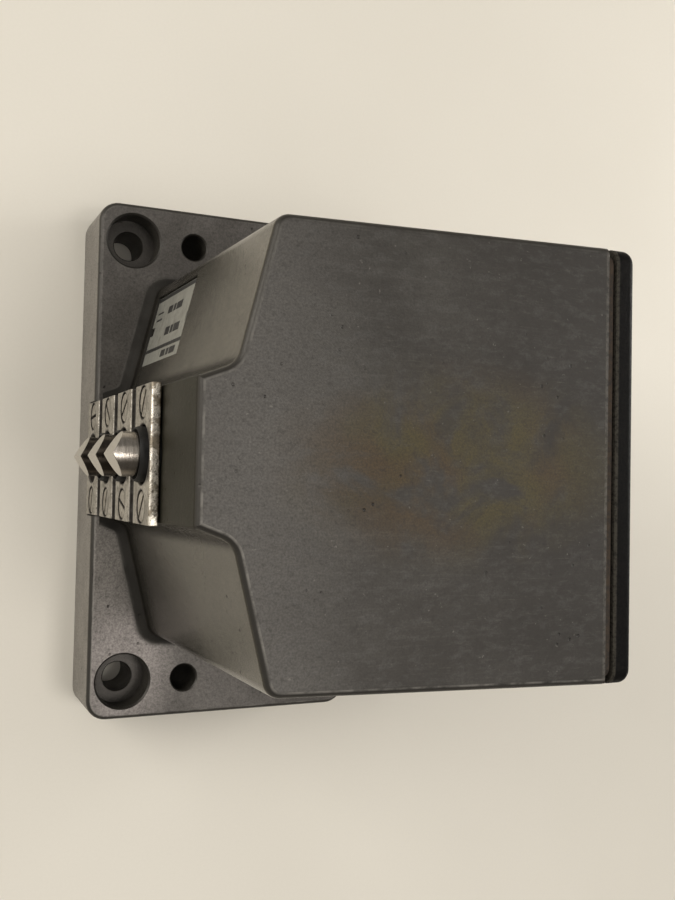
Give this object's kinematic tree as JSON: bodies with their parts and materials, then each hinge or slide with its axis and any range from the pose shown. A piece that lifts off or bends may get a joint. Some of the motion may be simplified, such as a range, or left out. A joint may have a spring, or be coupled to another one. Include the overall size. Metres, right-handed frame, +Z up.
{
  "type": "limit switch",
  "caption": "Row limit switch for a machine slide: chisel plungers in a guide plate on a flanged die-cast housing, with a dark rear cover.",
  "frame": {"origin": "centre in X and Y of the whole part, on the mounting face (the flange's flat back) at Z = 0", "axes": "+Z up from the mounting face; the plungers point along -X and are pressed along +X; the rear cover faces +X; the flange is longest along Y"},
  "size_m": [0.0936, 0.117, 0.095],
  "materials": {
    "grey_casting": "dark grey aged die-cast alloy, slightly mottled",
    "black_plastic": "fine grained moulding",
    "black_rubber": "matt",
    "gasket": "matt brown fibre and rubber sheet",
    "nickel_plate": "worn nickel plate",
    "stainless": "ground and polished",
    "bronze": "turned bronze",
    "spring_steel": "drawn wire",
    "zinc_steel": "zinc plated",
    "switch_case": "thermoset moulding",
    "label": "satin metal plate"
  },
  "bodies": {
    "base": {"housing": "grey_casting", "rear_cover": "black_plastic", "cable_entry_plug": "black_plastic", "wiper_seal_1": "black_rubber", "wiper_seal_2": "black_rubber", "wiper_seal_3": "black_rubber", "blanking_plug": "black_rubber", "cable_entry_seal": "black_rubber", "cover_gasket": "gasket", "guide_plate": "nickel_plate", "guide_bush_1": "bronze", "guide_bush_2": "bronze", "guide_bush_3": "bronze", "return_spring_1": "spring_steel", "return_spring_2": "spring_steel", "return_spring_3": "spring_steel", "guide_screw_1a": "zinc_steel", "guide_screw_1b": "zinc_steel", "guide_screw_2a": "zinc_steel", "guide_screw_2b": "zinc_steel", "guide_screw_3a": "zinc_steel", "guide_screw_3b": "zinc_steel", "guide_screw_4a": "zinc_steel", "guide_screw_4b": "zinc_steel", "cover_screw_1": "zinc_steel", "cover_screw_2": "zinc_steel", "cover_screw_3": "zinc_steel", "cover_screw_4": "zinc_steel", "carrier_screw_1": "zinc_steel", "carrier_screw_2": "zinc_steel", "terminal_screw_1a": "zinc_steel", "terminal_screw_1b": "zinc_steel", "terminal_screw_2a": "zinc_steel", "terminal_screw_2b": "zinc_steel", "terminal_screw_3a": "zinc_steel", "terminal_screw_3b": "zinc_steel", "earth_screw": "zinc_steel", "switch_carrier": "zinc_steel", "switch_case_1": "switch_case", "switch_case_2": "switch_case", "switch_case_3": "switch_case", "type_label": "label"},
    "plunger_1": {"plunger_1": "stainless", "retaining_ring_1": "spring_steel", "overtravel_spring_1": "spring_steel"},
    "contact_1": {"transfer_pin_1": "zinc_steel", "switch_button_1": "bronze"},
    "plunger_2": {"plunger_2": "stainless", "retaining_ring_2": "spring_steel", "overtravel_spring_2": "spring_steel"},
    "contact_2": {"transfer_pin_2": "zinc_steel", "switch_button_2": "bronze"},
    "plunger_3": {"plunger_3": "stainless", "retaining_ring_3": "spring_steel", "overtravel_spring_3": "spring_steel"},
    "contact_3": {"transfer_pin_3": "zinc_steel", "switch_button_3": "bronze"}
  },
  "joints": [
    {"name": "plunger_slide_1", "type": "slide", "parent": "base", "child": "plunger_1", "axis": [1, 0, 0], "range_m": [0, 0.005], "stiffness_N_per_m": 600, "springref_m": -0.01, "deforming": ["return_spring_1", "overtravel_spring_1"]},
    {"name": "contact_slide_1", "type": "slide", "parent": "base", "child": "contact_1", "axis": [1, 0, 0], "range_m": [0, 0.002]},
    {"name": "plunger_slide_2", "type": "slide", "parent": "base", "child": "plunger_2", "axis": [1, 0, 0], "range_m": [0, 0.005], "stiffness_N_per_m": 600, "springref_m": -0.01, "deforming": ["return_spring_2", "overtravel_spring_2"]},
    {"name": "contact_slide_2", "type": "slide", "parent": "base", "child": "contact_2", "axis": [1, 0, 0], "range_m": [0, 0.002]},
    {"name": "plunger_slide_3", "type": "slide", "parent": "base", "child": "plunger_3", "axis": [1, 0, 0], "range_m": [0, 0.005], "stiffness_N_per_m": 600, "springref_m": -0.01, "deforming": ["return_spring_3", "overtravel_spring_3"]},
    {"name": "contact_slide_3", "type": "slide", "parent": "base", "child": "contact_3", "axis": [1, 0, 0], "range_m": [0, 0.002]}
  ],
  "couplings": [
    {"joint": "contact_slide_1", "follows": "plunger_slide_1", "ratio": 0.4},
    {"joint": "contact_slide_2", "follows": "plunger_slide_2", "ratio": 0.4},
    {"joint": "contact_slide_3", "follows": "plunger_slide_3", "ratio": 0.4}
  ]
}
